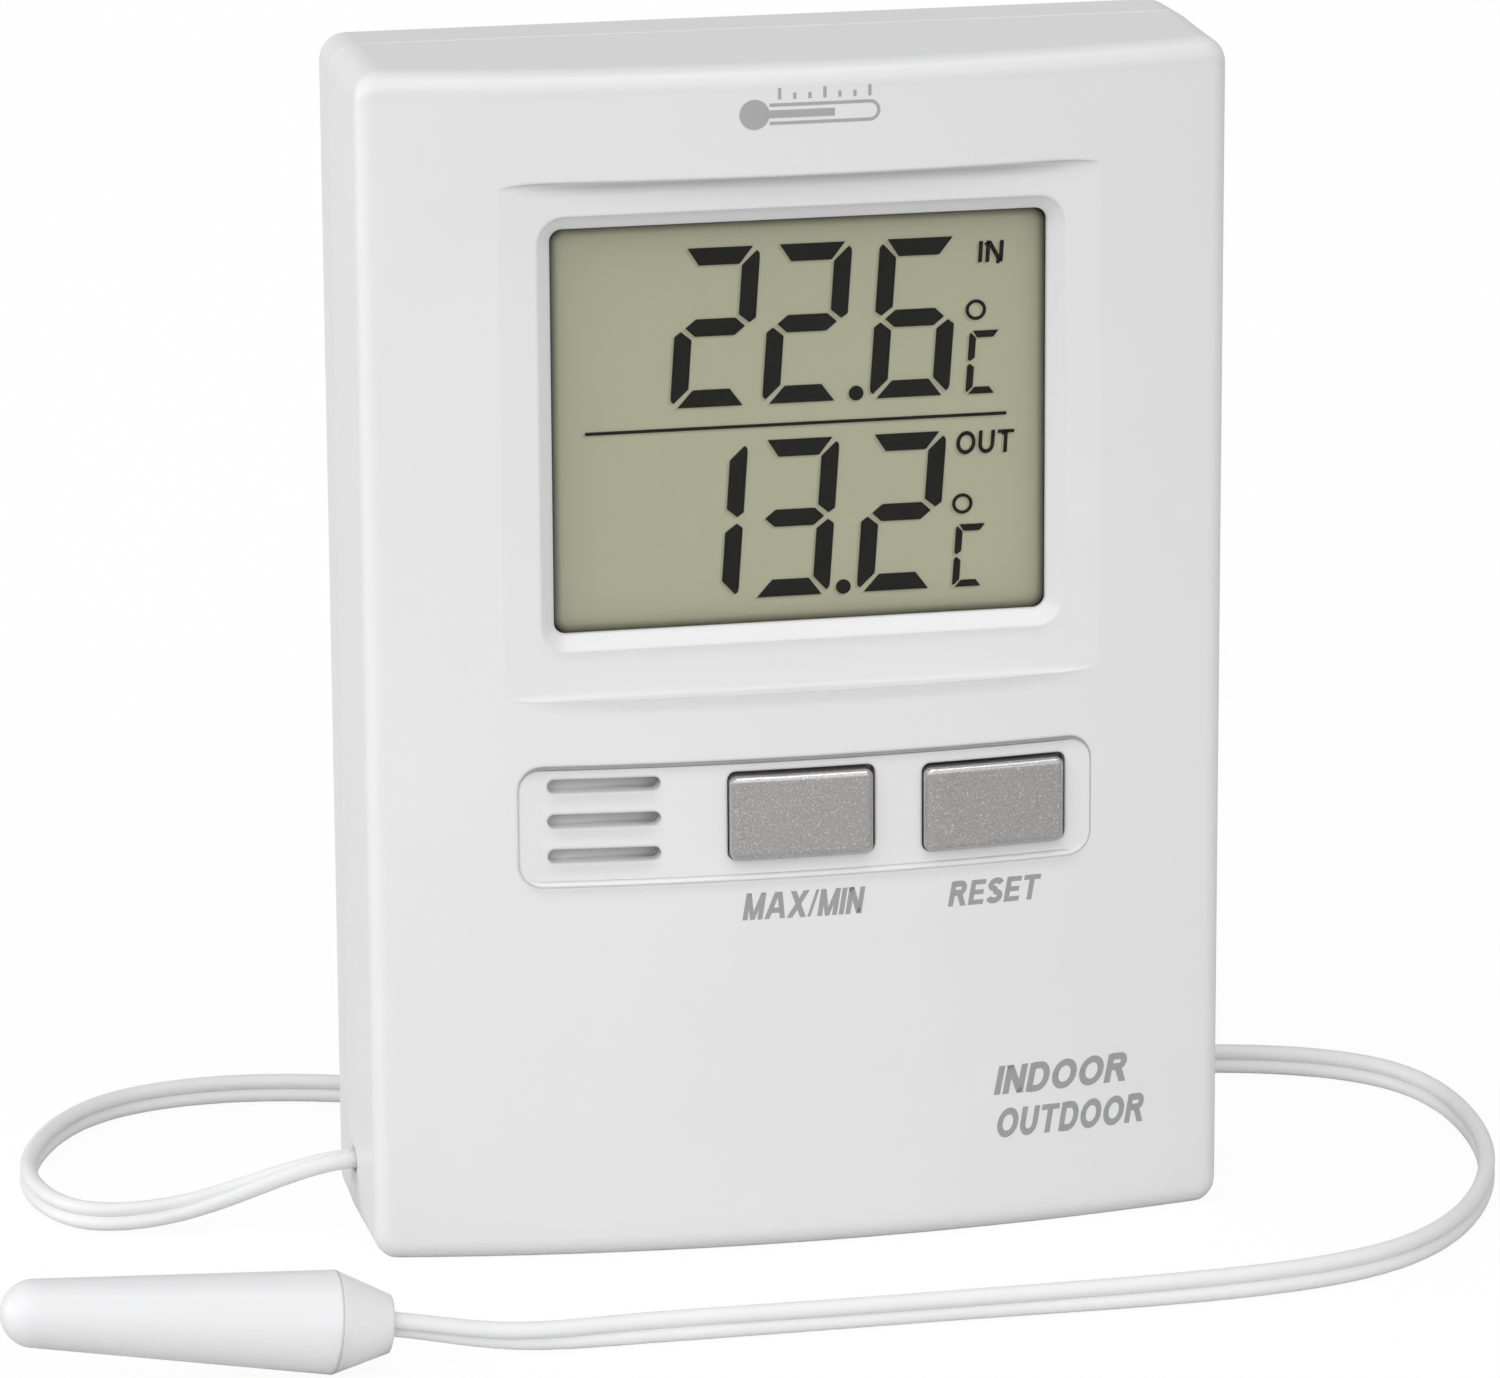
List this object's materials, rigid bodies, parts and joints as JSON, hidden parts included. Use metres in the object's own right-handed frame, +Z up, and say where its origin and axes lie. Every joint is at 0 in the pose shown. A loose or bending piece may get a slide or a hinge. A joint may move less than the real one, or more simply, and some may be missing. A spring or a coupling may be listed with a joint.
{
  "type": "maximum minimum thermometer",
  "caption": "Upright indoor and outdoor digital thermometer with a bowed face, display window, keys, fold-out stand, battery door and a wired probe.",
  "frame": {"origin": "centre of the case's underside, halfway between the crown of its face and its back", "axes": "+Z up, -Y the way the display faces, +X to the viewer's right"},
  "size_m": [0.1286, 0.0733, 0.097],
  "materials": {
    "case_white": "satin moulded",
    "lens_clear": "clear",
    "tape_grey": "matt",
    "polariser_film": "clear",
    "display_glass": "clear",
    "reflector_grey": "fine grain",
    "contact_rubber": "striped",
    "frame_black": "matt",
    "board_green": "solder mask",
    "steel": "zinc plated",
    "epoxy_black": "potted",
    "ceramic_tan": "fired",
    "resistor_black": "fired",
    "bead_epoxy": "dipped",
    "key_silver": "metallic paint",
    "keypad_rubber": "silicone",
    "carbon": "carbon",
    "cell_jacket": "printed jacket",
    "wire_red": "insulation",
    "wire_black": "insulation",
    "cable_white": "soft insulation",
    "copper": "stranded",
    "probe_white": "satin moulded",
    "potting": "cast"
  },
  "bodies": {
    "case": {"front_case": "case_white", "rear_case": "case_white", "window_lens": "lens_clear", "lens_adhesive": "tape_grey", "front_polariser": "polariser_film", "lcd_front_glass": "display_glass", "lcd_rear_glass": "display_glass", "rear_reflector": "reflector_grey", "zebra_strips": "contact_rubber", "lcd_frame": "frame_black", "main_pcb": "board_green", "pcb_screws": "steel", "case_screws": "steel", "chip_blob": "epoxy_black", "quartz_crystal": "steel", "chip_capacitors": "ceramic_tan", "chip_resistors": "resistor_black", "room_thermistor": "bead_epoxy", "rubber_keypad": "keypad_rubber", "battery_cell": "cell_jacket", "battery_positive_contact": "steel", "battery_negative_spring": "steel", "battery_wire_red": "wire_red", "battery_wire_black": "wire_black", "probe_cable": "cable_white", "cable_cores": "copper", "cable_clamp": "frame_black", "probe_sleeve": "probe_white", "probe_plug": "probe_white", "probe_thermistor": "bead_epoxy", "probe_potting": "potting"},
    "max_min_key": {"max_min_button": "key_silver", "max_min_contact_pill": "carbon"},
    "reset_key": {"reset_button": "key_silver", "reset_contact_pill": "carbon"},
    "battery_cover": {"battery_door": "case_white"},
    "stand": {"table_stand": "case_white"}
  },
  "joints": [
    {"name": "max_min_press", "type": "slide", "parent": "case", "child": "max_min_key", "axis": [0, 1, 0], "range_m": [0, 0.0008], "stiffness_N_per_m": 900, "deforming": ["rubber_keypad"]},
    {"name": "reset_press", "type": "slide", "parent": "case", "child": "reset_key", "axis": [0, 1, 0], "range_m": [0, 0.0008], "stiffness_N_per_m": 900, "deforming": ["rubber_keypad"]},
    {"name": "door_tip", "type": "hinge", "parent": "case", "child": "battery_cover", "pos_m": [0, 0.0117, 0.0594], "axis": [-1, 0, 0], "range_deg": [0, 70]},
    {"name": "stand_fold", "type": "hinge", "parent": "case", "child": "stand", "pos_m": [0, 0.0103, 0.05], "axis": [1, 0, 0], "range_deg": [0, 35]}
  ]
}
